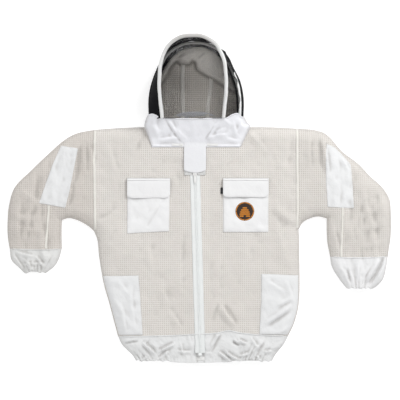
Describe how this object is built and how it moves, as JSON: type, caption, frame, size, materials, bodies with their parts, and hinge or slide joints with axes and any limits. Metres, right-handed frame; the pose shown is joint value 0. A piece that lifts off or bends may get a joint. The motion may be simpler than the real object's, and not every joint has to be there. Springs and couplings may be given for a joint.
{
  "type": "beekeeping jacket",
  "caption": "Ventilated beekeeping jacket laid flat, with zip-on fencing hood, two folding hoops, see-through veil, pockets, elastic cuffs and hem.",
  "frame": {"origin": "on the surface that the jacket lies on, under the middle of its bounding box", "axes": "+X towards the wearer's left sleeve, +Y from hem to hood, +Z from the back of the jacket to its front"},
  "size_m": [1.204, 1.0119, 0.2386],
  "materials": {
    "ventilated_mesh": "three-layer ventilated polyester mesh, off-white",
    "white_twill": "white poly-cotton twill",
    "collar_cotton": "white cotton, slightly cool",
    "black_netting": "black polyester veil netting",
    "cream_binding": "cream bias binding",
    "zip_tape": "woven white zip tape",
    "zip_plastic": "white nylon coil",
    "zip_enamel": "white enamelled zinc",
    "elastic": "white braided elastic",
    "hoop_rod": "flexible glass-fibre rod",
    "hook_and_loop": "white hook-and-loop tape",
    "badge_embroidery": "satin-stitched amber thread",
    "black_label": "black woven ribbon"
  },
  "bodies": {
    "jacket": {"back_panel": "ventilated_mesh", "flap_loop_pads": "hook_and_loop", "hem_band": "white_twill", "hem_elastic": "elastic", "left_armhole_binding": "cream_binding", "left_chest_pocket": "white_twill", "left_front_panel": "ventilated_mesh", "left_hip_pocket": "white_twill", "left_pocket_loop_strip": "hook_and_loop", "main_zip_end_box": "zip_plastic", "main_zip_left_tape": "zip_tape", "main_zip_left_teeth": "zip_plastic", "main_zip_right_tape": "zip_tape", "main_zip_right_teeth": "zip_plastic", "neck_band": "white_twill", "neck_zip_jacket_tape": "zip_tape", "neck_zip_jacket_teeth": "zip_plastic", "pocket_badge": "badge_embroidery", "pocket_label_tab": "black_label", "right_armhole_binding": "cream_binding", "right_chest_pocket": "white_twill", "right_front_panel": "ventilated_mesh", "right_hip_pocket": "white_twill", "right_pocket_loop_strip": "hook_and_loop"},
    "left_arm": {"left_sleeve": "ventilated_mesh", "left_sleeve_patch": "white_twill", "left_cuff": "white_twill", "left_cuff_elastic": "elastic", "left_sleeve_binding": "cream_binding"},
    "right_arm": {"right_sleeve": "ventilated_mesh", "right_sleeve_patch": "white_twill", "right_cuff": "white_twill", "right_cuff_elastic": "elastic", "right_sleeve_binding": "cream_binding"},
    "hood": {"collar": "collar_cotton", "hood_back": "ventilated_mesh", "hood_back_tapes": "cream_binding", "neck_zip_hood_teeth": "zip_plastic", "neck_zip_hood_tape": "zip_tape"},
    "rear_hoop": {"rear_hoop_rod": "hoop_rod", "rear_hoop_casing": "white_twill", "side_netting": "black_netting"},
    "front_hoop": {"front_hoop_rod": "hoop_rod", "front_hoop_casing": "white_twill", "front_veil": "black_netting"},
    "closure_flap": {"neck_flap": "collar_cotton", "flap_hook_pads": "hook_and_loop"},
    "left_pocket_flap": {"left_chest_flap": "white_twill", "left_pocket_hook_strip": "hook_and_loop"},
    "right_pocket_flap": {"right_chest_flap": "white_twill", "right_pocket_hook_strip": "hook_and_loop"},
    "main_slider": {"main_zip_slider": "zip_enamel"},
    "main_pull": {"main_zip_pull": "zip_enamel"},
    "left_neck_slider": {"left_neck_zip_slider": "zip_enamel"},
    "left_neck_pull": {"left_neck_zip_pull": "zip_enamel"},
    "right_neck_slider": {"right_neck_zip_slider": "zip_enamel"},
    "right_neck_pull": {"right_neck_zip_pull": "zip_enamel"}
  },
  "joints": [
    {"name": "main_zip_slide", "type": "slide", "parent": "jacket", "child": "main_slider", "axis": [0.0293, -0.9996, 0], "range_m": [0, 0.545]},
    {"name": "main_pull_hinge", "type": "hinge", "parent": "main_slider", "child": "main_pull", "pos_m": [-0.01355, 0.08696, 0.0386], "axis": [-0.9996, -0.0293, 0], "range_deg": [0, 120]},
    {"name": "left_neck_zip_slide", "type": "slide", "parent": "jacket", "child": "left_neck_slider", "axis": [1, 0, 0], "range_m": [0, 0.085]},
    {"name": "left_neck_pull_hinge", "type": "hinge", "parent": "left_neck_slider", "child": "left_neck_pull", "pos_m": [0.031, 0.18, 0.0386], "axis": [0, -1, 0], "range_deg": [0, 120]},
    {"name": "right_neck_zip_slide", "type": "slide", "parent": "jacket", "child": "right_neck_slider", "axis": [-1, 0, 0], "range_m": [0, 0.08]},
    {"name": "right_neck_pull_hinge", "type": "hinge", "parent": "right_neck_slider", "child": "right_neck_pull", "pos_m": [-0.058, 0.18, 0.0386], "axis": [0, 1, 0], "range_deg": [0, 120]},
    {"name": "hood_removal", "type": "slide", "parent": "jacket", "child": "hood", "axis": [0, 1, 0], "range_m": [0, 0.3]},
    {"name": "rear_hoop_fold", "type": "hinge", "parent": "hood", "child": "rear_hoop", "pos_m": [-0.012, 0.258, 0.055], "axis": [-1, 0, 0], "range_deg": [0, 17], "deforming": ["hood_back"]},
    {"name": "front_hoop_fold", "type": "hinge", "parent": "rear_hoop", "child": "front_hoop", "pos_m": [-0.02, 0.258, 0.081], "axis": [-1, 0, 0], "range_deg": [0, 17], "deforming": ["side_netting"]},
    {"name": "neck_flap_hinge", "type": "hinge", "parent": "hood", "child": "closure_flap", "pos_m": [-0.0135, 0.1905, 0.0395], "axis": [-1, 0, 0], "range_deg": [0, 110]},
    {"name": "left_pocket_flap_hinge", "type": "hinge", "parent": "jacket", "child": "left_pocket_flap", "pos_m": [0.1455, 0.068, 0.0422], "axis": [-1, 0, 0], "range_deg": [0, 170]},
    {"name": "right_pocket_flap_hinge", "type": "hinge", "parent": "jacket", "child": "right_pocket_flap", "pos_m": [-0.1585, 0.068, 0.0422], "axis": [-1, 0, 0], "range_deg": [0, 170]},
    {"name": "left_sleeve_fold", "type": "hinge", "parent": "jacket", "child": "left_arm", "pos_m": [0.312, 0.07, 0.036], "axis": [0, -1, 0], "range_deg": [0, 165]},
    {"name": "right_sleeve_fold", "type": "hinge", "parent": "jacket", "child": "right_arm", "pos_m": [-0.331, 0.07, 0.036], "axis": [0, 1, 0], "range_deg": [0, 165]}
  ],
  "couplings": [
    {"joint": "front_hoop_fold", "follows": "rear_hoop_fold", "ratio": 1}
  ]
}
